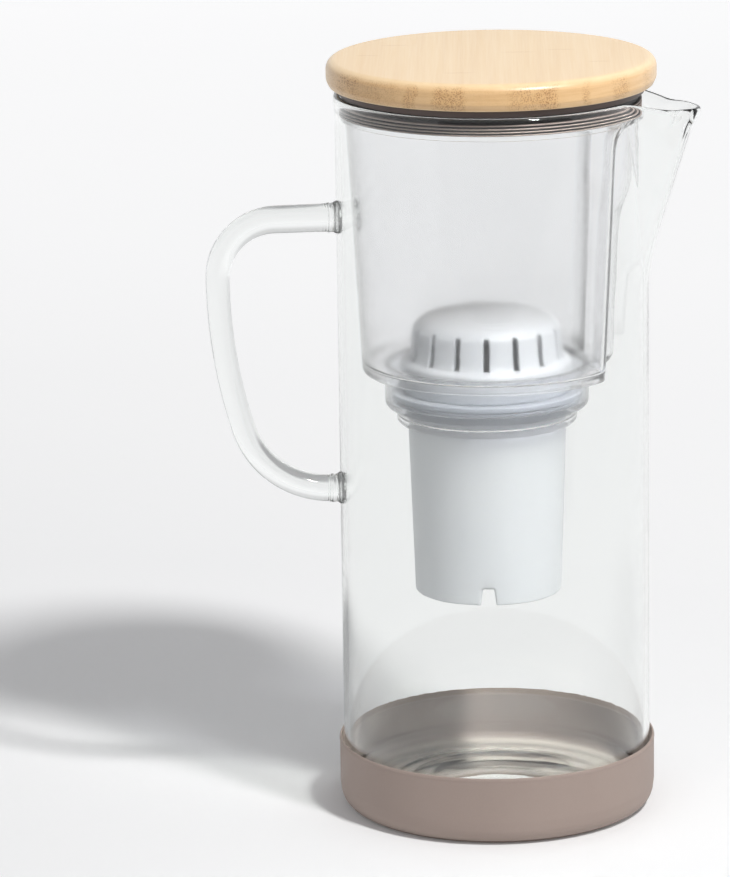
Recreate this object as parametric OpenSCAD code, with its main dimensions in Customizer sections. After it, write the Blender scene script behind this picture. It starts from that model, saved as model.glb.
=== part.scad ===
// Glass water filter pitcher.
// A straight glass jug with a drawn spout and a welded rod handle stands in a
// soft boot. A frosted hopper hangs in the jug from a finned gasket that rests
// on the glass rim, and carries a drop-in filter cartridge. A bamboo lid with
// a turned plug lifts off.
// Origin: the middle of the boot's underside, on the jug's axis.
// +Z is up, +X is the spout side, -X is the handle side.

/* [Jug] */
// Outside diameter of the glass body
jug_d = 120; // [118:0.5:122]
// Height of the glass rim above the table
jug_h = 283; // [276:1:290]
// Thickness of the glass wall
glass_t = 2.2; // [1.8:0.1:2.4]
// Thickness of the pooled glass in the middle of the base
base_t = 5.4; // [4:0.2:7]
// Distance from the jug's axis to the tip of the spout
spout_reach = 80.4; // [74:0.2:84]
// How far the rim dips at the tip of the spout
spout_dip = 8.7; // [6:0.1:12]
// Height of wall that is drawn out into the spout
spout_h = 77; // [60:1:90]
// Half of the angle over which the rim is drawn out
spout_half_angle = 36; // [30:1:40]

/* [Handle] */
// Diameter of the glass rod
rod_d = 9.8; // [8.4:0.2:11]
// Distance from the jug's axis to the outermost point of the rod's middle line
handle_reach = 106.3; // [102:0.1:110]
// Height of the upper arm's middle line
handle_top = 236; // [230:1:240]
// Height of the lower arm's middle line
handle_bottom = 129.2; // [125:0.2:132]
// Radius of the upper bend
upper_bend = 22.4; // [18:0.2:26]
// Radius of the long bow of the grip
grip_bow = 202; // [190:1:215]
// Angle of the long bow of the grip
grip_bow_angle = 17; // [15:0.5:18]

/* [Boot] */
// Height of the boot
boot_h = 27.2; // [24:0.2:32]
// Thickness of the boot's wall
boot_t = 1.7; // [1.4:0.1:2.2]
// Thickness of the boot's floor under the glass
boot_floor = 2.7; // [2.2:0.1:3.2]
// Radius of the round window in the boot's floor
boot_window_r = 25; // [16:1:30]

/* [Hopper] */
// Depth of the hopper from the glass rim to its underside
hopper_depth = 108; // [100:1:112]
// Wall thickness of the hopper
hopper_t = 1.8; // [1.5:0.1:2]
// Radius of the hopper's underside
hopper_bottom_r = 50.6; // [48:0.2:52]
// Half of the angle taken by the flat on the spout side
flat_half_angle = 41; // [34:1:44]
// Distance from the jug's axis back to the cartridge's axis
seat_offset = 2.7; // [0:0.1:3]

/* [Cartridge] */
// Radius of the cup where it leaves the seat
cup_top_r = 30.6; // [29.6:0.1:30.8]
// Radius of the cup's foot
cup_bottom_r = 28.4; // [26:0.1:29.6]
// Length of the cup below the hopper's underside
cup_drop = 88.2; // [70:0.2:100]
// Number of inlet slots around the cap
slots = 16; // [8:1:20]
// Width of an inlet slot
slot_w = 2.2; // [1.4:0.1:2.8]
// Turn of the cartridge about its own axis
cartridge_turn = -8; // [-30:1:30]

/* [Lid] */
// Diameter of the bamboo disc
lid_d = 126.2; // [124:0.2:130]
// Thickness of the bamboo disc
lid_t = 10.3; // [8:0.1:14]
// Depth of the turned plug under the disc
plug_h = 9; // [6:0.5:10]

/* [Hidden] */
$fn = 96;

jug_r = jug_d / 2;
jug_in = jug_r - glass_t;            // inside radius of the glass
corner_r = 7;                        // outside corner at the foot of the glass
z_glass = boot_floor;                // the glass stands on the boot's floor
spout_z0 = jug_h - spout_h;          // the spout fades out here
spout_out = spout_reach - jug_r;

gap = 0.3;                           // clearance between moving round parts
fin_r = jug_in - gap;                // tips of the gasket's fins
flange_r = fin_r - 0.5;              // the hopper's stop ring
neck_r = flange_r - 1.95;            // the hopper's neck, inside the gasket
neck_in = neck_r - hopper_t;
z_rim = jug_h + 0.1;                 // underside of the gasket's collar
collar_h = 2.8;
z_lid = z_rim + collar_h + 0.1;      // underside of the lid
z_flange = jug_h - 9;                // underside of the stop ring
flange_t = 2;
z_hop = jug_h - hopper_depth;        // underside of the hopper
wall_top_r = flange_r - 1.2;         // hopper wall just under the stop ring
hop_floor = 3;

z_step = z_hop - 11.5;               // the face that the cartridge seats on
seat_r1 = 39.4;                      // upper, wider ring of the seat
seat_r2 = 34.9;                      // lower, narrower ring of the seat
z_cup = z_hop - cup_drop;            // foot of the cartridge
plug_r = neck_in - 1.6;

function lerp(a, b, t) = a + (b - a) * t;
function clamp01(t) = min(1, max(0, t));
// radius of the hopper's round wall at height z
function wall_r(z) = lerp(hopper_bottom_r, wall_top_r,
                          (z - z_hop) / (z_flange - z_hop));
// distance of the hopper's flat from the axis at height z
function flat_d(z) = wall_r(z) * cos(flat_half_angle);

// ---------------------------------------------------------------- glass jug
// meridian of the glass: underside, outside wall, rim bead, inside wall, floor
z_in = z_glass + base_t;
jug_profile = concat(
    [[24, z_glass + 1.2], [46, z_glass], [jug_r - corner_r, z_glass]],
    [for (a = [-67.5:22.5:-22.5]) [jug_r - corner_r + corner_r * cos(a),
                                   z_glass + corner_r + corner_r * sin(a)]],
    [[jug_r, z_glass + corner_r], [jug_r, 110]],
    [for (z = [spout_z0:11:jug_h - 16]) [jug_r, z]],
    [[jug_r + 0.05, jug_h - 9], [jug_r + 0.5, jug_h - 3.8],
     [jug_r + 0.45, jug_h - 1.3], [jug_r - 0.4, jug_h - 0.15],
     [jug_r - 1.1, jug_h], [jug_r - 1.8, jug_h - 0.3],
     [jug_in, jug_h - 1.4], [jug_in, jug_h - 9]],
    [for (z = [jug_h - 22:-11:spout_z0]) [jug_in, z]],
    [[jug_in, 110], [jug_in, z_in + 6.5]],
    [for (a = [-22.5:-22.5:-67.5]) [jug_in - 6.5 + 6.5 * cos(a),
                                    z_in + 6.5 + 6.5 * sin(a)]],
    [[jug_in - 8, z_in], [24, z_in - 0.2]]);

// columns are closer together across the spout
jug_angles = concat([for (a = [-45:3:45]) a], [for (a = [52:8:308]) a]);

function bump(th, t) =
    let (b = lerp(20, spout_half_angle, t), e = 0.06,
         u = sqrt(pow(abs(th) / b, 2) + e * e) - e)
    pow(max(0, 1 - u), 1.55) * pow(t, 1.15);
function dip(th) = abs(th) < 44 ? spout_dip * pow(cos(90 * th / 44), 1.6) : 0;
// the last of the spout is turned out into a blunt beak
function beak(th, z) = clamp01((z - jug_h + 12) / 8)
    * lookup(abs(th), [[0, 0.4], [3, 1.0], [6, 1.2], [9, -1.0], [13, -0.4], [16, 0]]);
function jug_point(p, a) =
    let (th = a > 180 ? a - 360 : a,
         t = clamp01((p[1] - spout_z0) / spout_h),
         r = p[0] + spout_out * bump(th, t) + beak(th, p[1]))
    [r * cos(th), r * sin(th), p[1] - dip(th) * t];

module glass_jug() {
    np = len(jug_profile);
    na = len(jug_angles);
    pts = concat(
        [for (p = jug_profile) for (a = jug_angles) jug_point(p, a)],
        [[0, 0, z_glass + 1.7], [0, 0, z_in]]);
    lo = np * na;
    hi = lo + 1;
    faces = concat(
        [for (i = [0:np - 2]) for (j = [0:na - 1])
            let (k = (j + 1) % na)
            [i * na + j, (i + 1) * na + j, i * na + k]],
        [for (i = [0:np - 2]) for (j = [0:na - 1])
            let (k = (j + 1) % na)
            [(i + 1) * na + j, (i + 1) * na + k, i * na + k]],
        [for (j = [0:na - 1]) [lo, j, (j + 1) % na]],
        [for (j = [0:na - 1])
            [hi, (np - 1) * na + (j + 1) % na, (np - 1) * na + j]]);
    color([0.88, 0.94, 0.92, 0.4])
        polyhedron(points = pts, faces = faces, convexity = 8);
}

// ------------------------------------------------------------------ handle
c1 = [handle_reach - upper_bend, handle_top - upper_bend];
c2 = [handle_reach - grip_bow, c1[1]];
p2 = [c2[0] + grip_bow * cos(grip_bow_angle),
      c2[1] - grip_bow * sin(grip_bow_angle)];
lower_bend = (p2[1] - handle_bottom) / (1 - sin(grip_bow_angle));
c3 = [p2[0] - lower_bend * cos(grip_bow_angle),
      p2[1] + lower_bend * sin(grip_bow_angle)];

// rings along the rod, each [distance from the jug's axis, height, direction,
// radius]; the direction is the angle of travel, 0 away from the jug, and
// -90 straight down. The rod thickens towards its ends, which are gathered
// into a low collar on the wall.
rod_r = rod_d / 2;
weld_r = rod_r + 1.5;
r0 = jug_in + 1;                     // the rod is let into the wall this far
rod_rings = concat(
    [for (q = [[0, weld_r], [2.2, weld_r - 0.25], [3.2, weld_r - 0.8],
               [4.4, weld_r - 0.65], [5.6, rod_r + 0.55], [8, rod_r + 0.5]])
        [r0 + q[0], handle_top, 0, q[1]]],
    [[(r0 + 8 + c1[0]) / 2, handle_top, 0, rod_r + 0.48]],
    [for (a = [90:-10:10]) [c1[0] + upper_bend * cos(a),
        c1[1] + upper_bend * sin(a), a - 90, rod_r - 0.3 + 0.75 * a / 90]],
    [for (k = [0:8]) let (a = -grip_bow_angle * k / 8)
        [c2[0] + grip_bow * cos(a), c2[1] + grip_bow * sin(a), a - 90,
         rod_r - 0.3]],
    [for (k = [1:8]) let (a = lerp(-grip_bow_angle, -82, k / 8))
        [c3[0] + lower_bend * cos(a), c3[1] + lower_bend * sin(a), a - 90,
         rod_r - 0.3 + 0.55 * k / 8]],
    [for (q = [[5.6, rod_r + 0.3], [4.4, weld_r - 0.85],
               [3.2, weld_r - 0.95], [2.2, weld_r - 0.35], [0, weld_r - 0.1]])
        [r0 + q[0], handle_bottom, -180, q[1]]]);

module handle() {
    m = 20;
    n = len(rod_rings);
    pts = concat([for (g = rod_rings) for (j = [0:m - 1])
        let (b = 360 * j / m, s = g[3] * sin(b))
        [-(g[0] - s * sin(g[2])), g[3] * cos(b), g[1] + s * cos(g[2])]],
        [[-rod_rings[0][0], 0, rod_rings[0][1]],
         [-rod_rings[n - 1][0], 0, rod_rings[n - 1][1]]]);
    faces = concat(
        [for (i = [0:n - 2]) for (j = [0:m - 1]) let (k = (j + 1) % m)
            [i * m + j, i * m + k, (i + 1) * m + j]],
        [for (i = [0:n - 2]) for (j = [0:m - 1]) let (k = (j + 1) % m)
            [i * m + k, (i + 1) * m + k, (i + 1) * m + j]],
        [for (j = [0:m - 1]) [n * m, (j + 1) % m, j]],
        [for (j = [0:m - 1]) [n * m + 1, (n - 1) * m + j,
                              (n - 1) * m + (j + 1) % m]]);
    color([0.86, 0.92, 0.88, 0.5])
        polyhedron(points = pts, faces = faces, convexity = 6);
}

// -------------------------------------------------------------------- boot
module base_boot() {
    ro = jug_r + boot_t;
    fit = 0.06;                      // the wall stands this far off the glass
    color([0.60, 0.52, 0.48]) rotate_extrude() polygon(concat(
        [[boot_window_r, 0], [ro - 4.4, 0],
         [ro - 3, 0.35], [ro - 1.5, 1.9], [ro - 0.45, 4.6], [ro, 8.4],
         [ro, boot_h - 2.4], [ro - 0.25, boot_h - 0.9], [ro - 0.85, boot_h],
         [jug_r + 0.35, boot_h], [jug_r + fit, boot_h - 0.35],
         [jug_r + fit, z_glass + corner_r]],
        [for (a = [-12:-12:-72])
            [jug_r - corner_r + (corner_r + fit) * cos(a),
             z_glass + corner_r + (corner_r + fit) * sin(a)]],
        [[jug_r - corner_r, z_glass], [boot_window_r, z_glass]]));
}

// ------------------------------------------------------------------ hopper
// outline of the flat on the spout side, in the XZ plane, moved in by s
module flat_profile(s, z0, lift) {
    zt = z_flange + lift;
    polygon([[flat_d(z_hop) - s - 0.4, z0 - 10], [flat_d(z_hop) - s, z_hop],
             [flat_d(z_flange - 12) - s, z_flange - 12],
             [flat_d(z_flange - 8) - s + 0.2, zt - 7.5],
             [flat_d(z_flange - 4) - s + 0.9, zt - 4.5],
             [flat_d(z_flange - 2) - s + 3.0, zt - 2.3],
             [flat_d(z_flange) - s + 6.2, zt - 0.8],
             [flat_d(z_flange) - s + 9.8, zt - 0.1],
             [flange_r + 1, zt], [90, zt], [90, z0 - 10]]);
}

// half-round bay that stands out of the flat, wider over its upper third
bay_x = 32;
module bay(s, z0, top) {
    b = hopper_bottom_r - 50.6;
    rotate_extrude() polygon([
        [0, z0], [11.6 + b - s, z0], [14.8 + b - s, max(z0, z_hop) + 4.3],
        [16.8 + b - s, z_hop + 48.7], [17.3 + b - s, z_hop + 55],
        [18.4 + b - s, z_hop + 61.3], [20.2 + b - s, z_hop + 66],
        [21.4 + b - s, z_hop + 69.8], [22.3 + b - s, z_hop + 76],
        [22.7 + b - s, z_hop + 84], [23.0 + b - s, z_hop + 94],
        [23.0 + b - s, top], [0, top]]);
}

module hopper_form(s, z0, zt, lift) {
    difference() {
        rotate_extrude() polygon([[0, z0], [wall_r(z0) - s, z0],
            [wall_r(z_flange) - s, z_flange], [wall_r(z_flange) - s, zt],
            [0, zt]]);
        rotate([90, 0, 0]) translate([0, 0, -80]) linear_extrude(height = 160)
            flat_profile(s, z0, lift);
    }
    intersection() {
        translate([bay_x, 0, 0]) bay(s, z0, zt);
        rotate_extrude() polygon([[0, z0], [wall_r(z0) - s, z0],
            [wall_r(z_flange) - s, z_flange], [wall_r(z_flange) - s, zt],
            [0, zt]]);
    }
}

module hopper() {
    color([0.86, 0.86, 0.90, 0.45]) difference() {
        union() {
            hopper_form(0, z_hop, z_flange + 0.5, 0);
            // stop ring and neck
            rotate_extrude() polygon([[neck_in - 1, z_flange],
                [flange_r - 0.3, z_flange], [flange_r, z_flange + 0.3],
                [flange_r, z_flange + flange_t - 0.3],
                [flange_r - 0.3, z_flange + flange_t],
                [neck_r, z_flange + flange_t], [neck_r, z_lid - 0.8],
                [neck_r - 0.5, z_lid - 0.3], [neck_in, z_lid - 0.3],
                [neck_in - 1, z_lid - 0.3]]);
            // cartridge seat: two stepped rings with round lower edges
            translate([-seat_offset, 0, 0]) rotate_extrude() polygon([
                [0, z_hop + 1], [seat_r1, z_hop + 1], [seat_r1, z_hop - 9.5],
                [seat_r1 - 0.4, z_hop - 11.6], [seat_r1 - 1.5, z_hop - 13.2],
                [seat_r1 - 3.2, z_hop - 14.2], [seat_r2 + 0.2, z_hop - 14.4],
                [seat_r2, z_hop - 14.6], [seat_r2, z_hop - 16.6],
                [seat_r2 - 0.4, z_hop - 18.4], [seat_r2 - 1.4, z_hop - 19.8],
                [seat_r2 - 3, z_hop - 20.7], [0, z_hop - 20.7]]);
        }
        // inside of the hopper
        hopper_form(hopper_t, z_hop + hop_floor, z_flange + flange_t + 0.4, 2);
        translate([0, 0, z_flange + flange_t])
            cylinder(r = neck_in, h = 40);
        // stepped bore of the seat
        translate([-seat_offset, 0, 0]) rotate_extrude() polygon([
            [0, z_hop - 30], [cup_top_r + 0.8, z_hop - 30],
            [cup_top_r + 0.8, z_hop - 18], [seat_r2 - 2, z_hop - 17.4],
            [seat_r2 - 2, z_step], [seat_r1 - 2, z_step],
            [seat_r1 - 2, z_hop + hop_floor + 1], [0, z_hop + hop_floor + 1]]);
    }
}

// ---------------------------------------------------------------- gasket
fins = 4;
fin_pitch = 1.2;
fin_t = 0.6;
module rim_gasket() {
    z0 = z_flange + flange_t + 0.05;
    body_r = fin_r - 1.3;
    color([0.36, 0.30, 0.28]) rotate_extrude() polygon(concat(
        [[neck_r, z0]],
        [for (i = [0:fins - 1]) each [
            [body_r, z0 + i * fin_pitch], [fin_r - 0.1, z0 + i * fin_pitch],
            [fin_r, z0 + i * fin_pitch + fin_t / 2],
            [fin_r - 0.1, z0 + i * fin_pitch + fin_t],
            [body_r, z0 + i * fin_pitch + fin_t]]],
        [[body_r, z_rim], [jug_r - 1.7, z_rim], [jug_r - 1.4, z_rim + 0.3],
         [jug_r - 1.4, z_rim + collar_h - 0.3],
         [jug_r - 1.7, z_rim + collar_h], [neck_r, z_rim + collar_h]]));
}

// --------------------------------------------------------------------- lid
seal_h = 4;
module lid_board() {
    ro = lid_d / 2;
    zt = z_lid + lid_t;
    zp = z_lid - plug_h;
    color([0.93, 0.80, 0.60]) difference() {
        rotate_extrude() polygon(concat(
            [[0, zp], [plug_r - 0.8, zp], [plug_r, zp + 0.8],
             [plug_r, z_lid], [ro - 1.9, z_lid], [ro - 1.2, z_lid + 0.25],
             [ro - 0.5, z_lid + 1.2], [ro, z_lid + 3]],
            [for (a = [0:15:75]) [ro - 4.6 + 4.6 * cos(a),
                                  zt - 4.6 + 4.6 * sin(a)]],
            [[ro - 5.6, zt], [0, zt]]));
        // groove for the plug's seal
        translate([0, 0, z_lid - 1.6 - seal_h]) difference() {
            cylinder(r = plug_r + 2, h = seal_h);
            translate([0, 0, -1]) cylinder(r = plug_r - 0.9, h = seal_h + 2);
        }
    }
}

module lid_seal() {
    z0 = z_lid - 1.6 - seal_h;
    color([0.42, 0.35, 0.33]) rotate_extrude() polygon([
        [plug_r - 0.9, z0], [plug_r + 0.3, z0], [plug_r + 1.2, z0 + 0.7],
        [plug_r + 0.3, z0 + 1.4], [plug_r + 0.3, z0 + 2.4],
        [plug_r + 1.2, z0 + 3.1], [plug_r + 0.3, z0 + seal_h],
        [plug_r - 0.9, z0 + seal_h]]);
}

// --------------------------------------------------------------- cartridge
cup_t = 1.5;
z_gasket = z_step;                   // washer on the seat's step
gasket_t = 1.35;
z_cflange = z_step + gasket_t;       // underside of the cup's flange
cflange_t = 2.5;
cap_r = 33.1;
z_plate = z_cup + 7.4;               // underside of the drain plate
plate_t = 1.8;
z_top = z_hop + 22.2;                // crown of the cap
z_screen = z_hop - 4;                // underside of the upper screen

module at_seat() translate([-seat_offset, 0, 0])
    rotate([0, 0, cartridge_turn]) children();

// inside radius of the cup at height z
function cup_in(z) = lerp(cup_bottom_r, cup_top_r,
    clamp01((z - z_cup) / (z_hop - 20.7 - z_cup))) - cup_t;

module cartridge_cup() {
    zn = z_cflange + cflange_t;
    color([0.90, 0.93, 0.93]) at_seat() difference() {
        rotate_extrude() polygon([
            [cup_bottom_r - cup_t, z_cup], [cup_bottom_r - 0.5, z_cup],
            [cup_bottom_r, z_cup + 0.8],
            [cup_top_r, z_hop - 20.7], [cup_top_r, z_hop - 17.6],
            [cup_top_r + 0.8, z_hop - 15], [cup_top_r + 0.8, z_cflange],
            [seat_r1 - 2.7, z_cflange], [seat_r1 - 2.7, zn],
            [cap_r - 1.8, zn], [cap_r - 1.8, zn + 7],
            [cup_top_r - cup_t, zn + 7],
            [cup_top_r - cup_t, z_hop - 20.7],
            [cup_in(z_plate + plate_t), z_plate + plate_t],
            [0, z_plate + plate_t], [0, z_plate],
            [cup_in(z_plate), z_plate]]);
        // three drain notches in the foot
        for (i = [0:2]) rotate([0, 0, -90 + 120 * i])
            translate([cup_bottom_r - 6, 0, z_cup - 1]) rotate([90, 0, 90])
                linear_extrude(height = 10)
                    polygon([[-3.1, 0], [3.1, 0], [2, 7.3], [-2, 7.3]]);
        // outlet slots in the drain plate
        for (i = [0:11]) rotate([0, 0, 30 * i + 15])
            translate([8, -0.9, z_plate - 1]) cube([13, 1.8, plate_t + 2]);
    }
}

module cartridge_cap() {
    zb = z_cflange + cflange_t;
    w = 1.6;
    color([0.90, 0.93, 0.93]) at_seat() difference() {
        rotate_extrude() polygon([
            [cap_r - w, zb], [cap_r, zb], [cap_r, z_hop + 3.1],
            [cap_r - 0.5, z_hop + 3.7], [cap_r - 2.1, z_hop + 4.3],
            [cap_r - 3.3, z_hop + 5.9], [cap_r - 3.9, z_hop + 9],
            [cap_r - 4.4, z_hop + 15.5], [cap_r - 5.5, z_hop + 17.8],
            [cap_r - 8.1, z_hop + 19.8], [cap_r - 13, z_hop + 21.2],
            [cap_r - 21, z_hop + 21.9], [0, z_top],
            [0, z_top - w], [cap_r - 21, z_hop + 21.9 - w],
            [cap_r - 13.4, z_hop + 21.2 - w], [cap_r - 9, z_hop + 19.8 - w],
            [cap_r - 6.8, z_hop + 17], [cap_r - 6, z_hop + 15.2],
            [cap_r - 5.5, z_hop + 9], [cap_r - 4.9, z_hop + 5],
            [cap_r - 3.4, z_hop + 2.4], [cap_r - w, z_hop + 1]]);
        for (i = [0:slots - 1]) rotate([0, 0, -90 + 360 / slots * i])
            translate([cap_r - 9, -slot_w / 2, z_hop + 4.8])
                cube([12, slot_w, 11.8]);
    }
}

module cartridge_gasket() {
    color([0.75, 0.76, 0.78]) at_seat() translate([0, 0, z_gasket])
        difference() {
            cylinder(r = seat_r1 - 2.7, h = gasket_t);
            translate([0, 0, -1])
                cylinder(r = cup_top_r + 1, h = gasket_t + 2);
        }
}

module top_screen() {
    color([0.80, 0.82, 0.82]) at_seat() translate([0, 0, z_screen])
        cylinder(r = cup_top_r - cup_t - 0.1, h = 0.8);
}

module bottom_screen() {
    z0 = z_plate + plate_t + 0.05;
    color([0.80, 0.82, 0.82]) at_seat() translate([0, 0, z0])
        cylinder(r = cup_in(z0) - 0.1, h = 0.8);
}

z_media = z_plate + plate_t + 0.9;   // underside of the resin
z_split = z_media + 32;              // resin below, carbon above
module fill(z0, z1, c) {
    zc = z_hop - 20.7;               // the cup is straight above this height
    color(c) at_seat() rotate_extrude() polygon(z1 > zc
        ? [[0, z0], [cup_in(z0) - 0.15, z0],
           [cup_in(zc) - 0.15, zc], [cup_in(zc) - 0.15, z1], [0, z1]]
        : [[0, z0], [cup_in(z0) - 0.15, z0], [cup_in(z1) - 0.15, z1],
           [0, z1]]);
}
module resin_fill() fill(z_media, z_split, [0.72, 0.55, 0.30]);
module carbon_fill() fill(z_split + 0.05, z_screen - 0.1,
                          [0.12, 0.12, 0.13]);

glass_jug();
handle();
base_boot();
hopper();
rim_gasket();
lid_board();
lid_seal();
cartridge_cup();
cartridge_cap();
cartridge_gasket();
top_screen();
bottom_screen();
carbon_fill();
resin_fill();
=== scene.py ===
import math
import bpy
import bmesh
import numpy as np
from mathutils import Matrix, Vector


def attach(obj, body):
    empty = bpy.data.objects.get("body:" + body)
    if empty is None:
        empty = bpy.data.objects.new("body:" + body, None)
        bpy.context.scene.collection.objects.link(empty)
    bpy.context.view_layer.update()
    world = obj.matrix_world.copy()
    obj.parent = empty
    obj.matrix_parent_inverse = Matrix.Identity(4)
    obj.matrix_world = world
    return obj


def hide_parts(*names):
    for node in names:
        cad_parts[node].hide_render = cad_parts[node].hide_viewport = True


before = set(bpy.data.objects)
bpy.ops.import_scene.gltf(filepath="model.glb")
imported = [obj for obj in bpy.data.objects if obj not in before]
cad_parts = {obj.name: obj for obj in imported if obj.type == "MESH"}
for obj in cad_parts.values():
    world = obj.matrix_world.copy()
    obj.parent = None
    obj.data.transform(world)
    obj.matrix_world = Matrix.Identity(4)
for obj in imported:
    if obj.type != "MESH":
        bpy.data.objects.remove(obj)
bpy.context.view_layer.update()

MM = 0.001
scene = bpy.context.scene
pi, sin, cos = math.pi, math.sin, math.cos


# ---------------------------------------------------------------- helpers
def lerp(a, b, t):
    return a + (b - a) * t


def clamp01(t):
    return min(1.0, max(0.0, t))


def fillet(pts, closed=False, seg=4):
    """A polyline of (x, y) or (x, y, radius) with its corners rounded."""
    out = []
    n = len(pts)
    for i, p in enumerate(pts):
        rad = p[2] if len(p) > 2 else 0
        if rad <= 0 or (not closed and i in (0, n - 1)):
            out.append((p[0], p[1]))
            continue
        a = np.array(pts[(i - 1) % n][:2], float)
        b = np.array(p[:2], float)
        c = np.array(pts[(i + 1) % n][:2], float)
        u, v = a - b, c - b
        lu, lv = np.linalg.norm(u), np.linalg.norm(v)
        u, v = u / lu, v / lv
        ang = math.acos(max(-1, min(1, float(u @ v))))
        if ang > pi - 0.02 or ang < 0.02:
            out.append((b[0], b[1]))
            continue
        t = min(rad / math.tan(ang / 2), lu * 0.49, lv * 0.49)
        r = t * math.tan(ang / 2)
        mid = (u + v) / np.linalg.norm(u + v)
        centre = b + mid * (r / sin(ang / 2))
        s, e = b + u * t - centre, b + v * t - centre
        a0 = math.atan2(s[1], s[0])
        a1 = math.atan2(e[1], e[0])
        d = (a1 - a0 + pi) % (2 * pi) - pi
        k = max(2, int(math.ceil(abs(d) / (pi / 2) * seg)))
        for j in range(k + 1):
            q = a0 + d * j / k
            out.append((centre[0] + r * cos(q), centre[1] + r * sin(q)))
    return out


def split(pts, step):
    """The same open polyline with no stretch longer than step."""
    out = [pts[0]]
    for a, b in zip(pts, pts[1:]):
        k = max(1, int(math.ceil(math.dist(a, b) / step)))
        out += [(lerp(a[0], b[0], j / k), lerp(a[1], b[1], j / k)) for j in range(1, k + 1)]
    return out


def smooth_line(pts, step):
    """A centripetal Catmull-Rom curve through the points, about step apart."""
    p = [np.array(q, float) for q in pts]
    p = [2 * p[0] - p[1]] + p + [2 * p[-1] - p[-2]]
    out = [tuple(p[1])]
    for i in range(1, len(p) - 2):
        q0, q1, q2, q3 = p[i - 1 : i + 3]
        t0 = 0.0
        t1 = t0 + max(1e-6, np.linalg.norm(q1 - q0)) ** 0.5
        t2 = t1 + max(1e-6, np.linalg.norm(q2 - q1)) ** 0.5
        t3 = t2 + max(1e-6, np.linalg.norm(q3 - q2)) ** 0.5
        k = max(1, int(math.ceil(np.linalg.norm(q2 - q1) / step)))
        for j in range(1, k + 1):
            t = lerp(t1, t2, j / k)
            a1 = (t1 - t) / (t1 - t0) * q0 + (t - t0) / (t1 - t0) * q1
            a2 = (t2 - t) / (t2 - t1) * q1 + (t - t1) / (t2 - t1) * q2
            a3 = (t3 - t) / (t3 - t2) * q2 + (t - t2) / (t3 - t2) * q3
            b1 = (t2 - t) / (t2 - t0) * a1 + (t - t0) / (t2 - t0) * a2
            b2 = (t3 - t) / (t3 - t1) * a2 + (t - t1) / (t3 - t1) * a3
            out.append(tuple((t2 - t) / (t2 - t1) * b1 + (t - t1) / (t2 - t1) * b2))
    return out


def curve_value(table):
    """A smooth function through (x, y) points, without overshoot."""
    xs = np.array([q[0] for q in table], float)
    ys = np.array([q[1] for q in table], float)
    d = np.diff(ys) / np.diff(xs)
    m = np.concatenate([[d[0]], (d[:-1] + d[1:]) / 2, [d[-1]]])
    for i in range(len(d)):
        if abs(d[i]) < 1e-12:
            m[i] = m[i + 1] = 0
        else:
            m[i] = np.sign(d[i]) * min(abs(m[i]), 3 * abs(d[i])) if m[i] * d[i] > 0 else 0
            m[i + 1] = np.sign(d[i]) * min(abs(m[i + 1]), 3 * abs(d[i])) if m[i + 1] * d[i] > 0 else 0

    def f(x):
        x = min(xs[-1], max(xs[0], x))
        i = min(len(d) - 1, max(0, int(np.searchsorted(xs, x)) - 1))
        h = xs[i + 1] - xs[i]
        t = (x - xs[i]) / h
        return float(
            (2 * t**3 - 3 * t**2 + 1) * ys[i] + (t**3 - 2 * t**2 + t) * h * m[i]
            + (-2 * t**3 + 3 * t**2) * ys[i + 1] + (t**3 - t**2) * h * m[i + 1])
    return f


def add_mesh(name, verts, faces, mat, body, nodes=(), subsurf=0,
             sharp=None, outward=True):
    """A mesh object from points in mm that rides a body and stands for nodes."""
    me = bpy.data.meshes.new(name)
    me.from_pydata([tuple(float(c) * MM for c in v) for v in verts], [], faces)
    me.update()
    if outward:
        bm = bmesh.new()
        bm.from_mesh(me)
        bmesh.ops.recalc_face_normals(bm, faces=bm.faces)
        bm.to_mesh(me)
        bm.free()
    ob = bpy.data.objects.new(name, me)
    scene.collection.objects.link(ob)
    me.polygons.foreach_set("use_smooth", [True] * len(me.polygons))
    if sharp:
        me.set_sharp_from_angle(angle=math.radians(sharp))
    me.update()
    if subsurf:
        s = ob.modifiers.new("smooth", "SUBSURF")
        s.levels = s.render_levels = subsurf
    me.materials.append(mat)
    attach(ob, body)
    if nodes:
        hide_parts(*nodes)
    return ob


def join_rows(rows, closed_rows=False, skip=None):
    """Vertices and faces of a skin over rows of points. A row of one point is a pole."""
    verts, index = [], []
    for row in rows:
        index.append(list(range(len(verts), len(verts) + len(row))))
        verts += [tuple(p) for p in row]
    faces = []
    m = len(rows)
    for i in range(m if closed_rows else m - 1):
        a, b = index[i], index[(i + 1) % m]
        n = max(len(a), len(b))
        for j in range(n):
            k = (j + 1) % n
            if skip and skip(i, j):
                continue
            if len(a) == 1:
                faces.append((a[0], b[j], b[k]))
            elif len(b) == 1:
                faces.append((a[j], b[0], a[k]))
            else:
                faces.append((a[j], b[j], b[k], a[k]))
    return verts, faces, index


def revolve(name, profile, mat, body, nodes, n=160, closed=False, centre=0.0,
            subsurf=0, sharp=None, place=None):
    """Turns a profile of (radius, height) about the Z axis at x = centre."""
    rows = []
    for r, z in profile:
        if r < 1e-6:
            row = [(centre, 0, z)]
        else:
            row = [(centre + r * cos(2 * pi * j / n), r * sin(2 * pi * j / n), z) for j in range(n)]
        if place:
            row = [place(p) for p in row]
        rows.append(row)
    v, f, _ = join_rows(rows, closed)
    return add_mesh(name, v, f, mat, body, nodes, subsurf, sharp)


# --------------------------------------------------------------- materials
def material(name):
    mat = bpy.data.materials.new(name)
    mat.use_nodes = True
    nt = mat.node_tree
    nt.nodes.clear()
    out = nt.nodes.new("ShaderNodeOutputMaterial")
    p = nt.nodes.new("ShaderNodeBsdfPrincipled")
    nt.links.new(p.outputs[0], out.inputs[0])
    return mat, nt, p, out


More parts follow.
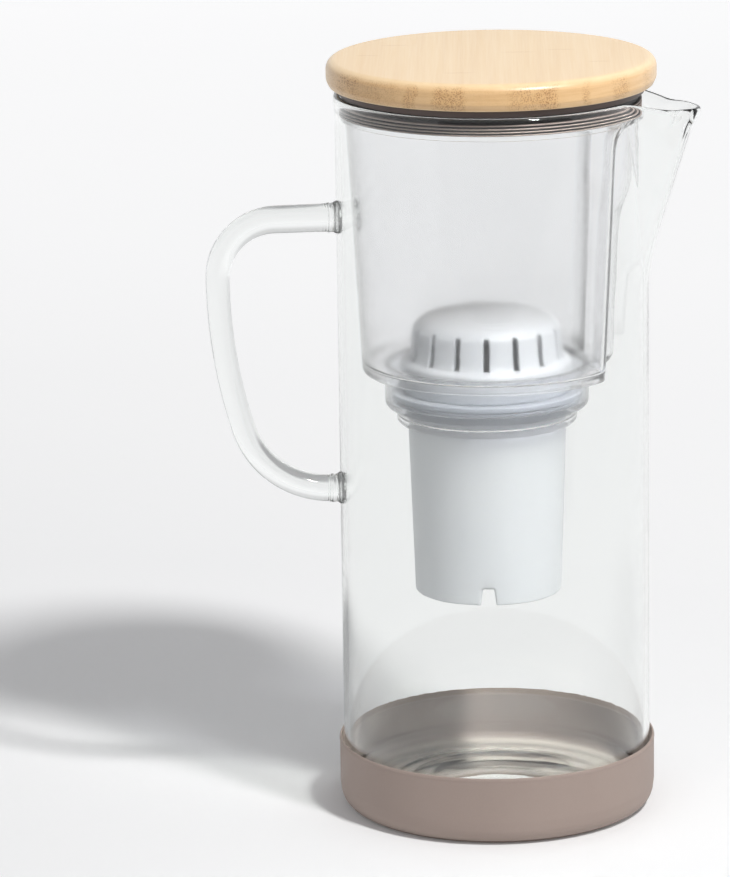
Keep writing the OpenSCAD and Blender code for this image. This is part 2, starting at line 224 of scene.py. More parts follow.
def node(nt, kind, **values):
    n = nt.nodes.new(kind)
    for k, v in values.items():
        if k in n.inputs:
            n.inputs[k].default_value = v
        else:
            setattr(n, k, v)
    return n


def link(nt, a, b):
    nt.links.new(a, b)


def coords(nt, scale=(1, 1, 1), rotation=(0, 0, 0), location=(0, 0, 0)):
    tc = node(nt, "ShaderNodeTexCoord")
    mp = node(nt, "ShaderNodeMapping")
    mp.inputs["Scale"].default_value = scale
    mp.inputs["Rotation"].default_value = rotation
    mp.inputs["Location"].default_value = location
    link(nt, tc.outputs["Object"], mp.inputs["Vector"])
    return mp.outputs["Vector"]


def grain_coords(nt, scale):
    """Object coordinates turned to the grain first and stretched after."""
    m = node(nt, "ShaderNodeVectorMath", operation="MULTIPLY")
    link(nt, coords(nt, (1, 1, 1), (0, 0, GRAIN_TURN)), m.inputs[0])
    m.inputs[1].default_value = scale
    return m.outputs[0]


def ramp(nt, fac, stops, interpolation="LINEAR"):
    r = node(nt, "ShaderNodeValToRGB")
    r.color_ramp.interpolation = interpolation
    els = r.color_ramp.elements
    while len(els) < len(stops):
        els.new(0.5)
    for e, (pos, col) in zip(els, stops):
        e.position = pos
        e.color = (*col, 1) if len(col) == 3 else col
    link(nt, fac, r.inputs["Fac"])
    return r.outputs["Color"]


def grey(v):
    return (v, v, v)


def noise(nt, vec, scale, detail=3.0, rough=0.5, distortion=0.0):
    n = node(nt, "ShaderNodeTexNoise")
    n.inputs["Scale"].default_value = scale
    n.inputs["Detail"].default_value = detail
    n.inputs["Roughness"].default_value = rough
    n.inputs["Distortion"].default_value = distortion
    link(nt, vec, n.inputs["Vector"])
    return n.outputs["Fac"]


def math_node(nt, op, a, b=None, c=None):
    m = node(nt, "ShaderNodeMath", operation=op)
    for i, v in enumerate((a, b, c)):
        if v is None:
            continue
        if isinstance(v, (int, float)):
            m.inputs[i].default_value = v
        else:
            link(nt, v, m.inputs[i])
    return m.outputs[0]


def mix_colour(nt, fac, a, b, mode="MIX"):
    m = node(nt, "ShaderNodeMix", data_type="RGBA", blend_type=mode)
    for i, v in ((0, fac), (6, a), (7, b)):
        if isinstance(v, (int, float)):
            m.inputs[i].default_value = v
        elif isinstance(v, tuple):
            m.inputs[i].default_value = (*v, 1)
        else:
            link(nt, v, m.inputs[i])
    return m.outputs[2]


def bump(nt, p, height, strength=0.2, distance=0.0005, chain=None):
    b = node(nt, "ShaderNodeBump")
    b.inputs["Strength"].default_value = strength
    b.inputs["Distance"].default_value = distance
    link(nt, height, b.inputs["Height"])
    if chain is not None:
        link(nt, chain, b.inputs["Normal"])
    if p is not None:
        link(nt, b.outputs["Normal"], p.inputs["Normal"])
    return b.outputs["Normal"]


def zone(nt, axis, a, b, c, d):
    """1 between b and c, falling to 0 at a and d, along an axis or, for "r", by the distance from the object's axis; metres."""
    tc = node(nt, "ShaderNodeTexCoord")
    if axis == "r":
        flat = node(nt, "ShaderNodeVectorMath", operation="MULTIPLY")
        link(nt, tc.outputs["Object"], flat.inputs[0])
        flat.inputs[1].default_value = (1, 1, 0)
        far = node(nt, "ShaderNodeVectorMath", operation="LENGTH")
        link(nt, flat.outputs[0], far.inputs[0])
        v = far.outputs["Value"]
    else:
        sep = node(nt, "ShaderNodeSeparateXYZ")
        link(nt, tc.outputs["Object"], sep.inputs[0])
        v = sep.outputs[axis]
    up = math_node(nt, "MULTIPLY", math_node(nt, "SUBTRACT", v, a), 1 / (b - a))
    down = math_node(nt, "MULTIPLY", math_node(nt, "SUBTRACT", d, v), 1 / (d - c))
    up.node.use_clamp = down.node.use_clamp = True
    return math_node(nt, "MULTIPLY", up, down)


def lamps_pass(nt, p, out, tint):
    """Lets light from lamps through a clear material."""
    mix = node(nt, "ShaderNodeMixShader")
    tr = node(nt, "ShaderNodeBsdfTransparent")
    tr.inputs["Color"].default_value = (*tint, 1)
    lp = node(nt, "ShaderNodeLightPath")
    link(nt, lp.outputs["Is Shadow Ray"], mix.inputs[0])
    link(nt, p.outputs[0], mix.inputs[1])
    link(nt, tr.outputs[0], mix.inputs[2])
    link(nt, mix.outputs[0], out.inputs[0])


def glass_material(name, lamps):
    mat, nt, p, out = material(name)
    p.inputs["Base Color"].default_value = (0.985, 0.992, 0.987, 1)
    p.inputs["Transmission Weight"].default_value = 1.0
    p.inputs["Roughness"].default_value = 0.0
    p.inputs["IOR"].default_value = 1.47
    vec = coords(nt, (1, 1, 0.35))
    # slow unevenness of blown glass, and faint draw lines round the body
    a = noise(nt, vec, 26, 2.0, 0.4)
    b = noise(nt, coords(nt, (3, 3, 60)), 5, 2.0, 0.5)
    h = math_node(nt, "ADD", a, math_node(nt, "MULTIPLY", b, 0.12))
    bump(nt, p, h, 0.10, 0.0009)
    lamps_pass(nt, p, out, lamps)
    va = node(nt, "ShaderNodeVolumeAbsorption")
    va.inputs["Color"].default_value = (0.60, 0.78, 0.62, 1)
    va.inputs["Density"].default_value = 4.0
    link(nt, va.outputs[0], out.inputs["Volume"])
    return mat


def frosted_material():
    mat, nt, p, out = material("frosted_plastic")
    # the stepped seat is thick, and it is painted greyer than the walls: painted shade
    seat_painted_shade = math_node(nt, "MULTIPLY", zone(nt, 2, 0.1585, 0.1600, 0.1750, 0.1765), zone(nt, "r", -1, -0.9, 0.0415, 0.0430))
    link(nt, mix_colour(nt, seat_painted_shade, (0.990, 0.987, 0.997), (0.845, 0.86, 0.885)), p.inputs["Base Color"])
    p.inputs["Transmission Weight"].default_value = 1.0
    p.inputs["IOR"].default_value = 1.46
    r = noise(nt, coords(nt), 90, 3.0, 0.6)
    rr = ramp(nt, r, [(0.3, grey(0.115)), (0.7, grey(0.15))])
    link(nt, rr, p.inputs["Roughness"])
    f = noise(nt, coords(nt), 1400, 2.0, 0.5)
    bump(nt, p, f, 0.08, 0.0001)
    lamps_pass(nt, p, out, (0.84, 0.84, 0.855))
    return mat


def silicone_material(name, base, dark, light, rough=(0.5, 0.62), soft=0.0, grain=1800):
    """Matt moulded rubber with a little colour drift, fine skin and handling marks."""
    mat, nt, p, out = material(name)
    c = noise(nt, coords(nt), 14, 4.0, 0.55)
    fine = noise(nt, coords(nt), grain, 3.0, 0.6)
    col = ramp(nt, c, [(0.28, dark), (0.5, base), (0.74, light)])
    link(nt, mix_colour(nt, 0.10, col, ramp(nt, fine, [(0.35, tuple(x * 0.8 for x in base)), (0.65, light)])), p.inputs["Base Color"])
    marks = noise(nt, coords(nt, (1, 1, 1)), 55, 5.0, 0.65)
    link(nt, ramp(nt, marks, [(0.3, grey(rough[0])), (0.7, grey(rough[1]))]), p.inputs["Roughness"])
    bump(nt, p, fine, 0.12, 0.00012)
    p.inputs["IOR"].default_value = 1.41
    if soft:
        p.inputs["Subsurface Weight"].default_value = soft
        p.inputs["Subsurface Radius"].default_value = (1.0, 0.7, 0.6)
        p.inputs["Subsurface Scale"].default_value = 0.0015
    return mat


def moulded_material(name, base, dark, light, rough=(0.34, 0.46), soft=0.15):
    """Satin moulded plastic: slow tone drift, faint flow lines and a fine spark-eroded grain."""
    mat, nt, p, out = material(name)
    c = noise(nt, coords(nt, (1, 1, 0.6)), 22, 3.0, 0.5)
    flow = noise(nt, coords(nt, (1, 1, 5)), 30, 4.0, 0.6, 0.6)
    col = ramp(nt, c, [(0.3, dark), (0.5, base), (0.72, light)])
    link(nt, mix_colour(nt, 0.18, col, ramp(nt, flow, [(0.35, dark), (0.65, light)])), p.inputs["Base Color"])
    link(nt, ramp(nt, flow, [(0.3, grey(rough[0])), (0.7, grey(rough[1]))]), p.inputs["Roughness"])
    fine = noise(nt, coords(nt), 2200, 2.0, 0.5)
    bump(nt, p, fine, 0.10, 0.00008)
    p.inputs["IOR"].default_value = 1.49
    if soft:
        p.inputs["Subsurface Weight"].default_value = soft
        p.inputs["Subsurface Radius"].default_value = (1.0, 1.0, 1.0)
        p.inputs["Subsurface Scale"].default_value = 0.003
    return mat


GRAIN_TURN = math.radians(8)          # the strips run front to back, turned by this


def bamboo_material():
    """Laminated strips along Y: dots of fibre bundles where a strip is cut across, fine streaks along it."""
    mat, nt, p, out = material("bamboo")
    sep = node(nt, "ShaderNodeSeparateXYZ")
    link(nt, grain_coords(nt, (1000, 1000, 1000)), sep.inputs[0])     # millimetres
    x, y, z = sep.outputs
    # edges of the bands wander a little up the side
    wav = noise(nt, grain_coords(nt, (25, 12, 210)), 1.0, 2.0)
    xs = math_node(nt, "ADD", x, math_node(nt, "MULTIPLY", math_node(nt, "SUBTRACT", wav, 0.5), 6.0))
    t = math_node(nt, "DIVIDE", math_node(nt, "ADD", xs, 64.0), 128.0)
    # how dense the bundles are across the board: each strip is dense on one side of its thickness
    bands = [(-64, 0.3), (-57.5, 0.45), (-56, 1.0), (-50.5, 0.9), (-48.5, 0.25), (-45, 0.45), (-38, 0.45), (-33.2, 0.12), (-32, 0.9),
             (-28.8, 1.0), (-27.6, 0.06), (-22.5, 0.1), (-20, 0.75), (-10.5, 0.95), (-8.6, 0.14), (5, 0.08), (10, 0.7), (22, 1.0),
             (24.4, 0.95), (25.6, 0.06), (33.6, 0.04), (34.5, 0.6), (36.2, 0.6), (37, 0.04), (45.2, 0.05), (46.6, 0.62), (51, 0.65),
             (52.4, 0.06), (57.4, 0.06), (58.4, 0.5), (64, 0.3)]
    dens = ramp(nt, t, [((q + 64) / 128, grey(v)) for q, v in bands])
    # long fibres
    fib = noise(nt, grain_coords(nt, (1500, 20, 1500)), 1.0, 3.0, 0.6)
    fib2 = noise(nt, grain_coords(nt, (300, 6, 620)), 1.0, 3.0, 0.55)
    slow = noise(nt, grain_coords(nt, (34, 9, 34)), 1.0, 2.0, 0.5)
    col = ramp(nt, fib2, [(0.25, (0.698, 0.504, 0.297)), (0.5, (0.731, 0.546, 0.331)), (0.75, (0.758, 0.583, 0.369))])
    col = mix_colour(nt, 0.30, col, ramp(nt, slow, [(0.3, (0.702, 0.506, 0.293)), (0.7, (0.769, 0.605, 0.393))]))
    # cut across: the face looks along the strips
    geo = node(nt, "ShaderNodeNewGeometry")
    ax = node(nt, "ShaderNodeVectorMath", operation="DOT_PRODUCT")
    link(nt, geo.outputs["Normal"], ax.inputs[0])
    ax.inputs[1].default_value = (sin(GRAIN_TURN), cos(GRAIN_TURN), 0)
    upn = node(nt, "ShaderNodeSeparateXYZ")
    link(nt, geo.outputs["Normal"], upn.inputs[0])
    flat = ramp(nt, math_node(nt, "ABSOLUTE", upn.outputs[2]), [(0.35, grey(1.0)), (0.85, grey(0.0))])
    cut = math_node(nt, "MULTIPLY", ramp(nt, math_node(nt, "ABSOLUTE", ax.outputs["Value"]), [(0.05, grey(0.25)), (0.6, grey(1.0))]), flat)
    # bundles: dots across, streaks along
    vor = node(nt, "ShaderNodeTexVoronoi", feature="F1", distance="EUCLIDEAN")
    vor.inputs["Scale"].default_value = 1.0
    vor.inputs["Randomness"].default_value = 0.95
    link(nt, grain_coords(nt, (1750, 14, 1750)), vor.inputs["Vector"])
    dots = ramp(nt, vor.outputs["Distance"], [(0.26, grey(1)), (0.56, grey(0))])
    cloud = noise(nt, grain_coords(nt, (230, 10, 170)), 1.0, 3.0, 0.65)
    dens = math_node(nt, "MULTIPLY", dens, ramp(nt, cloud, [(0.33, grey(0.35)), (0.52, grey(1.0))]))
    shade = math_node(nt, "MULTIPLY", dens, cut)
    spot = math_node(nt, "MULTIPLY", dots, shade)
    # the side is a deeper tan than the sanded top
    col = mix_colour(nt, math_node(nt, "MULTIPLY", cut, 0.62), col, (0.553, 0.326, 0.135))
    col = mix_colour(nt, math_node(nt, "MULTIPLY", shade, 0.34), col, (0.450, 0.239, 0.077))
    col = mix_colour(nt, math_node(nt, "MULTIPLY", spot, 0.80), col, (0.198, 0.086, 0.025))
    # the soft pith between bundles shows as fine lines along the side
    line = noise(nt, grain_coords(nt, (60, 6, 1500)), 1.0, 3.0, 0.6)
    line = math_node(nt, "MULTIPLY", ramp(nt, line, [(0.42, grey(1)), (0.58, grey(0))]), cut)
    col = mix_colour(nt, math_node(nt, "MULTIPLY", line, 0.22), col, (0.450, 0.243, 0.081))
    # along the face the same bundles are faint streaks
    streak = math_node(nt, "MULTIPLY", math_node(nt, "MULTIPLY", dots, dens), math_node(nt, "SUBTRACT", 1.0, cut))
    col = mix_colour(nt, math_node(nt, "MULTIPLY", streak, 0.07), col, (0.558, 0.360, 0.162))
    # knuckles: a few short, soft lines across a strip
    knots = None
    for kx, ky, half in ((-37.0, 26.0, 6.0), (-47.0, 4.0, 5.0), (10.5, 8.0, 7.5), (26.5, 13.0, 6.0), (41.0, -14.0, 5.0), (-12.0, -36.0, 6.5)):
        dy = math_node(nt, "ABSOLUTE", math_node(nt, "SUBTRACT", math_node(nt, "ADD", y, math_node(nt, "MULTIPLY", fib2, 1.5)), ky + 0.7))
        dx = math_node(nt, "ABSOLUTE", math_node(nt, "SUBTRACT", x, kx))
        m = math_node(nt, "MULTIPLY", ramp(nt, dy, [(0.0, grey(1.0)), (0.45, grey(0.6)), (1.0, grey(0.0))]),
                      ramp(nt, math_node(nt, "DIVIDE", dx, half), [(0.5, grey(1.0)), (1.0, grey(0.0))]))
        knots = m if knots is None else math_node(nt, "MAXIMUM", knots, m)
    knots = math_node(nt, "MULTIPLY", knots, math_node(nt, "SUBTRACT", 1.0, cut))
    col = mix_colour(nt, math_node(nt, "MULTIPLY", knots, 0.38), col, (0.504, 0.288, 0.117))
    link(nt, col, p.inputs["Base Color"])
    rough = ramp(nt, fib, [(0.3, grey(0.30)), (0.7, grey(0.42))])
    link(nt, rough, p.inputs["Roughness"])
    h = math_node(nt, "SUBTRACT", math_node(nt, "MULTIPLY", fib, 0.3), math_node(nt, "MULTIPLY", spot, 0.8))
    h = math_node(nt, "SUBTRACT", h, math_node(nt, "MULTIPLY", knots, 0.5))
    bump(nt, p, h, 0.22, 0.00012)
    p.inputs["IOR"].default_value = 1.5
    p.inputs["Coat Weight"].default_value = 0.12
    p.inputs["Coat Roughness"].default_value = 0.22
    return mat


def granule_material(name, cells, low, mid, high, rough, scale_z=1.0):
    mat, nt, p, out = material(name)
    vec = coords(nt, (1, 1, scale_z))
    v = node(nt, "ShaderNodeTexVoronoi", feature="F1")
    v.inputs["Scale"].default_value = cells
    link(nt, vec, v.inputs["Vector"])
    sc = node(nt, "ShaderNodeSeparateColor")
    link(nt, v.outputs["Color"], sc.inputs[0])
    col = ramp(nt, sc.outputs[0], [(0.0, low), (0.5, mid), (1.0, high)])
    # painted shade: the colour is darkened towards the edges of each granule, in the gaps between them
    granule_gap_painted_shade = ramp(nt, v.outputs["Distance"], [(0.35, grey(1)), (0.75, grey(0.25))])
    link(nt, mix_colour(nt, 1.0, col, granule_gap_painted_shade, "MULTIPLY"), p.inputs["Base Color"])
    link(nt, ramp(nt, sc.outputs[1], [(0, grey(rough[0])), (1, grey(rough[1]))]), p.inputs["Roughness"])
    h = ramp(nt, v.outputs["Distance"], [(0.0, grey(1)), (0.8, grey(0))])
    bump(nt, p, h, 0.9, 0.0006)
    return mat


def mesh_material(name):
    """Fine woven mesh, with painted shade in the gaps between the wires and a painted highlight on their crests."""
    mat, nt, p, out = material(name)
    waves = []
    for axis in ("X", "Y"):
        w = node(nt, "ShaderNodeTexWave", wave_type="BANDS", bands_direction=axis)
        w.inputs["Scale"].default_value = 330
        w.inputs["Distortion"].default_value = 0.0
        link(nt, coords(nt), w.inputs["Vector"])
        waves.append(w.outputs["Fac"])
    h = math_node(nt, "MAXIMUM", *waves)
    # painted shade where the weave is low, painted highlight at its crests
    link(nt, ramp(nt, h, [(0.45, (0.30, 0.32, 0.33)), (0.75, (0.72, 0.74, 0.75)), (1.0, (0.86, 0.87, 0.88))]), p.inputs["Base Color"])
    link(nt, ramp(nt, h, [(0.3, grey(0.7)), (0.9, grey(0.4))]), p.inputs["Roughness"])
    bump(nt, p, h, 0.8, 0.0004)
    return mat


M_GLASS = glass_material("clear_glass", (0.84, 0.845, 0.84))
M_ROD = glass_material("clear_glass_rod", (0.40, 0.41, 0.405))
M_FROST = frosted_material()
M_BOOT = silicone_material("taupe_silicone", (0.306, 0.242, 0.212), (0.288, 0.227, 0.198), (0.326, 0.26, 0.228), (0.50, 0.62), 0.05)


def painted_light_inside(mat):
    """The inside of the boot is painted paler than its outside: painted light on its inner wall and on its bed."""
    nt = mat.node_tree
    p = nt.nodes["Principled BSDF"]
    src = p.inputs["Base Color"].links[0].from_socket
    inner_wall_painted_light = math_node(nt, "MULTIPLY", zone(nt, "r", -1, -0.9, 0.0601, 0.0604), zone(nt, 2, 0.0030, 0.0060, 0.0265, 0.0270))
    inner_bed_painted_light = math_node(nt, "MULTIPLY", zone(nt, "r", -1, -0.9, 0.0560, 0.0590), zone(nt, 2, 0.0008, 0.0016, 0.0045, 0.0065))
    # painted light: the inner wall and the bed under the glass are coloured paler
    col = mix_colour(nt, math_node(nt, "MULTIPLY", inner_wall_painted_light, 0.50), src, (0.42, 0.365, 0.355))
    col = mix_colour(nt, math_node(nt, "MULTIPLY", inner_bed_painted_light, 0.85), col, (0.60, 0.55, 0.515))
    link(nt, col, p.inputs["Base Color"])


painted_light_inside(M_BOOT)
M_DARK = silicone_material("dark_silicone", (0.105, 0.080, 0.073), (0.09, 0.067, 0.061), (0.125, 0.097, 0.09), (0.36, 0.48), 0.0)


def fin_painted_highlight_and_shade(mat):
    """The fins' edges are painted pale, a painted highlight where light catches them, and the grooves between them are
    painted near black, painted shade.
    """
    nt = mat.node_tree
    p = next(n for n in nt.nodes if n.type == "BSDF_PRINCIPLED")
    col = p.inputs["Base Color"].links[0].from_socket
    sep = node(nt, "ShaderNodeSeparateXYZ")
    link(nt, coords(nt, (1000, 1000, 1000)), sep.inputs[0])
    rad = math_node(nt, "SQRT", math_node(nt, "ADD", math_node(nt, "MULTIPLY", sep.outputs[0], sep.outputs[0]),
                                          math_node(nt, "MULTIPLY", sep.outputs[1], sep.outputs[1])))
    below = math_node(nt, "LESS_THAN", sep.outputs[2], 282.9)
    # painted highlight: the fin tips are coloured pale, broken up at random by this noise
    tip_highlight_breakup = noise(nt, coords(nt, (1, 1, 1)), 60, 4.0, 0.6)
    tip_painted_highlight = ramp(nt, math_node(nt, "SUBTRACT", rad, 56.9), [(0.35, grey(0.0)), (0.55, grey(1.0))])
    tip_painted_highlight = math_node(nt, "MULTIPLY", math_node(nt, "MULTIPLY", tip_painted_highlight, below), ramp(nt, tip_highlight_breakup, [(0.3, grey(0.6)), (0.7, grey(1.0))]))
    # painted shade: the grooves between the fins are darkened to near black
    groove_painted_shade = math_node(nt, "MULTIPLY", ramp(nt, math_node(nt, "SUBTRACT", rad, 56.0), [(0.3, grey(1.0)), (0.9, grey(0.0))]), below)
    col = mix_colour(nt, math_node(nt, "MULTIPLY", groove_painted_shade, 0.97), col, (0.006, 0.004, 0.004))
    col = mix_colour(nt, math_node(nt, "MULTIPLY", tip_painted_highlight, 0.95), col, (0.46, 0.375, 0.335))
    link(nt, col, p.inputs["Base Color"])
    return mat


M_GASKET = fin_painted_highlight_and_shade(silicone_material("dark_silicone_fins", (0.105, 0.080, 0.073), (0.09, 0.067, 0.061), (0.125, 0.097, 0.09), (0.36, 0.48), 0.0))
M_GREY = silicone_material("grey_silicone", (0.50, 0.51, 0.53), (0.46, 0.47, 0.49), (0.54, 0.55, 0.57), (0.45, 0.6), 0.1)
M_WHITE = moulded_material("white_plastic", (0.645, 0.662, 0.685), (0.625, 0.645, 0.67), (0.665, 0.682, 0.702))
M_WOOD = bamboo_material()
M_CARBON = granule_material("carbon_granules", 620, (0.012, 0.012, 0.013), (0.028, 0.028, 0.03), (0.06, 0.06, 0.062), (0.35, 0.75))
M_RESIN = granule_material("resin_beads", 900, (0.28, 0.13, 0.03), (0.50, 0.27, 0.07), (0.68, 0.43, 0.16), (0.15, 0.35))
M_MESH = mesh_material("screen_mesh")


# --------------------------------------------------------------- dimensions
JUG_R, JUG_IN, JUG_H = 60.0, 57.8, 283.0
Z_GLASS = 2.7
Z_IN = Z_GLASS + 5.4
CORNER = 7.0
SPOUT_H, SPOUT_OUT, SPOUT_DIP = 77.0, 20.4, 8.7
SPOUT_Z0 = JUG_H - SPOUT_H
Z_HOP = 175.0
Z_FLANGE = 274.0
NECK_R, NECK_IN = 55.05, 53.25
Z_RIM, Z_LID = 283.1, 286.0
SEAT_X = -2.7


# ---------------------------------------------------------------- glass jug
RINGS = ((47.0, 1.6, 0.05), (41.5, 1.5, 0.075), (35.5, 1.7, 0.06), (28.0, 2.2, 0.04))     # radius, width, height


def jug():
    # under the foot, up the outside, over the rim and down the inside
    out = [(0, Z_GLASS + 1.75), (10, Z_GLASS + 1.7), (18, Z_GLASS + 1.5), (24, Z_GLASS + 1.2), (30, Z_GLASS + 0.85),
           (38, Z_GLASS + 0.35), (46, Z_GLASS + 0.04), (50, Z_GLASS)]
    out += [(JUG_R - CORNER + CORNER * cos(a), Z_GLASS + CORNER + CORNER * sin(a))
            for a in np.radians(np.arange(-90, 1, 7.5))]
    out = smooth_line(out, 2.0)
    out += [(JUG_R, z) for z in np.arange(14, 206, 6.0)]
    out += [(JUG_R, z) for z in np.arange(SPOUT_Z0, JUG_H - 12, 2.6)]
    rim = [(JUG_R, JUG_H - 12.5), (JUG_R + 0.05, JUG_H - 9), (JUG_R + 0.22, JUG_H - 6), (JUG_R + 0.5, JUG_H - 3.8),
           (JUG_R + 0.58, JUG_H - 2.4), (JUG_R + 0.45, JUG_H - 1.3), (JUG_R + 0.1, JUG_H - 0.55), (JUG_R - 0.4, JUG_H - 0.15),
           (JUG_R - 1.1, JUG_H), (JUG_R - 1.7, JUG_H - 0.25), (JUG_R - 2.1, JUG_H - 0.85), (JUG_IN, JUG_H - 1.7),
           (JUG_IN - 0.02, JUG_H - 4), (JUG_IN, JUG_H - 9)]
    out += smooth_line(rim, 0.6)
    inner = [(JUG_IN, z) for z in np.arange(SPOUT_Z0, JUG_H - 12, 2.6)][::-1]
    inner += [(JUG_IN, z) for z in np.arange(20, 206, 6.0)][::-1]
    out += inner
    # pooled glass of the base, with the rings that its turning left
    ri = 6.5
    base = [(JUG_IN - ri + ri * cos(a), Z_IN + ri + ri * sin(a)) for a in np.radians(np.arange(0, -76, -7.5))]
    for r in np.arange(50.0, 1.5, -1.0):
        t = clamp01((50.0 - r) / 3)
        w = sum(h * math.exp(-((r - c) / b) ** 2) for c, b, h in RINGS) * t
        base.append((r, Z_IN - 0.2 * clamp01((50 - r) / 25) + w))
    base.append((0, Z_IN - 0.2))
    out += smooth_line(base, 0.8)
    angles = np.radians(np.concatenate([np.arange(-48, 48.01, 1.0), np.arange(51, 312, 3.0)]))

    def uneven(r, th):
        """The rings are strong on the far left and fade towards the right."""
        w = sum(h * math.exp(-((r - c) / b) ** 2) for c, b, h in RINGS)
        side = 0.5 + 0.5 * cos(th - math.radians(150))
        return w * (1.2 * side**2 - 0.92) + 0.015 * sin(2 * th + 0.12 * r) * clamp01((r - 14) / 12)

    beak = curve_value([(0, 0.5), (2, 0.75), (4, 1.15), (6, 1.35), (7, 0.7), (8, -0.4), (9, -1.0), (10.5, -1.05), (13, -0.45), (16, 0), (20, 0)])

    def place(r, z, th):
        th = (th + pi) % (2 * pi) - pi
        t = clamp01((z - SPOUT_Z0) / SPOUT_H)
        b = lerp(20, 36, t)
        e = 0.06
        d = abs(math.degrees(th))
        u = math.sqrt((d / b) ** 2 + e * e) - e
        s = clamp01((z - JUG_H + 12) / 8)
        rr = r + SPOUT_OUT * max(0, 1 - u) ** 1.55 * t**1.15 + beak(min(d, 20)) * s * s * (3 - 2 * s)
        dip = SPOUT_DIP * cos(pi / 2 * d / 44) ** 1.6 if d < 44 else 0
        return (rr * cos(th), rr * sin(th), z - dip * t)

    rows = []
    for r, z in out:
        if r < 1e-6:
            rows.append([(0, 0, z)])
        else:
            rows.append([place(r, z + (uneven(r, th) if (7.0 < z < 8.6 and r < 50) else 0), th) for th in angles])
    v, f, _ = join_rows(rows)
    return add_mesh("jug_glass", v, f, M_GLASS, "jug", ["glass_jug"])


def handle():
    top, low, bend, bow, bow_a = 236.0, 129.2, 22.4, 202.0, 17.0
    reach, rod = 106.3, 4.9
    c1 = (reach - bend, top - bend)
    c2 = (reach - bow, c1[1])
    p2 = (c2[0] + bow * cos(math.radians(bow_a)), c2[1] - bow * sin(math.radians(bow_a)))
    lb = (p2[1] - low) / (1 - sin(math.radians(bow_a)))
    c3 = (p2[0] - lb * cos(math.radians(bow_a)), p2[1] + lb * sin(math.radians(bow_a)))
    r0 = JUG_IN + 1.0
    collar = curve_value([(0, 6.4), (1.2, 6.36), (1.9, 6.2), (2.5, 5.85), (3.0, 5.62), (3.5, 5.62), (4.0, 5.74), (4.5, 5.76),
                          (5.0, 5.62), (5.5, 5.48), (6.2, 5.46), (8, 5.4)])
    weld = [(d, collar(d)) for d in (0, 0.6, 1.2, 1.6, 1.9, 2.2, 2.5, 2.75, 3.0, 3.25, 3.5, 3.75, 4.0, 4.25, 4.5, 4.75, 5.0, 5.25,
                                     5.5, 5.8, 6.2, 7.0, 8.0)]
    rings = [(r0 + d, top, 0.0, w) for d, w in weld]
    x_a = r0 + 8
    rings += [(lerp(x_a, c1[0], k / 8), top, 0.0, lerp(5.4, 5.36, k / 8)) for k in range(1, 8)]
    for k in range(0, 33):
        a = math.radians(90 - 90 * k / 32)
        rings.append((c1[0] + bend * cos(a), c1[1] + bend * sin(a), math.degrees(a) - 90, rod + 0.45 - 0.75 * k / 32))
    for k in range(1, 25):
        a = math.radians(-bow_a * k / 24)
        rings.append((c2[0] + bow * cos(a), c2[1] + bow * sin(a), math.degrees(a) - 90, rod - 0.3))
    for k in range(1, 33):
        a = math.radians(lerp(-bow_a, -89.5, k / 32))
        rings.append((c3[0] + lb * cos(a), c3[1] + lb * sin(a), math.degrees(a) - 90, rod - 0.3 + 0.55 * k / 32))
    x_b = c3[0]
    for k in range(1, 4):
        rings.append((lerp(x_b, r0 + 6.4, k / 4), low, -180.0, rod + 0.25))
    rings += [(r0 + d, low, -180.0, w - 0.2 * clamp01(d / 2)) for d, w in weld[::-1] if d < 6.2]
    m = 64

    def ring(d, z, a, r):
        ar = math.radians(a)
        return [(-(d - r * sin(b) * sin(ar)), r * cos(b), z + r * sin(b) * cos(ar))
                for b in (2 * pi * j / m for j in range(m))]

    rows = [[(-rings[0][0], 0, rings[0][1])]] + [ring(*g) for g in rings] + [[(-rings[-1][0], 0, rings[-1][1])]]
    v, f, _ = join_rows(rows)
    return add_mesh("jug_handle", v, f, M_ROD, "jug", ["handle"], sharp=50)


def boot():
    ro = 61.7
    prof = [(25, 0, 0.35), (56.2, 0, 0.3), (56.3, 1.25, 0.3), (58.7, 1.35, 1.2), (60.5, 3.4, 3.0), (61.3, 5.7, 5.0), (ro, 9.6, 6.0),
            (ro, 25.4, 0.8), (ro + 0.14, 26.2, 0.7), (ro - 0.1, 27.2, 0.55), (60.95, 27.25, 0.3), (60.5, 25.9, 0.4), (60.08, 24.9, 0.4),
            (60.08, Z_GLASS + CORNER)]
    prof = fillet(prof + [(60.08, 12.0)][:0], False, 6)
    inner = [(53 + 7.08 * cos(a), 9.7 + 7.08 * sin(a)) for a in np.radians(np.arange(-7.5, -90.1, -7.5))]
    loop = prof + inner + fillet([(53, 2.62), (25, 2.62, 0.35), (25, 0)], False, 4)[1:-1]
    # fillet() leaves the first corner as it is, so round the window's lower edge here
    loop = [(25.35, 0.0)] + loop[1:] + [(25.0, 0.35)]
    return revolve("foot_boot", loop, M_BOOT, "jug", ["base_boot"], n=192, closed=True)


# ------------------------------------------------------------------ hopper
def wall_r(z):
    return lerp(50.6, 55.8, (z - Z_HOP) / (Z_FLANGE - Z_HOP))


bay_at = curve_value([(170, 10.0), (175, 11.9), (179.3, 14.8), (190, 15.35), (207, 16.1), (223.7, 16.8), (230, 17.3),
                      (236.3, 18.4), (241, 20.2), (244.8, 21.4), (251, 22.3), (259, 22.7), (269, 23.0), (280, 23.0)])
flare_at = [(262.0, 0.0), (264.5, 0.05), (266.5, 0.2), (268.2, 0.5), (269.5, 0.95), (270.7, 1.8), (271.7, 3.0),
            (272.5, 4.5), (273.2, 6.3), (273.6, 8.0), (273.9, 10.2), (274.0, 13.5)]


def smin(a, b, k):
    h = max(k - abs(a - b), 0) / k
    return min(a, b) - h * h * k / 4


def smax(a, b, k):
    h = max(k - abs(a - b), 0) / k
    return max(a, b) + h * h * k / 4


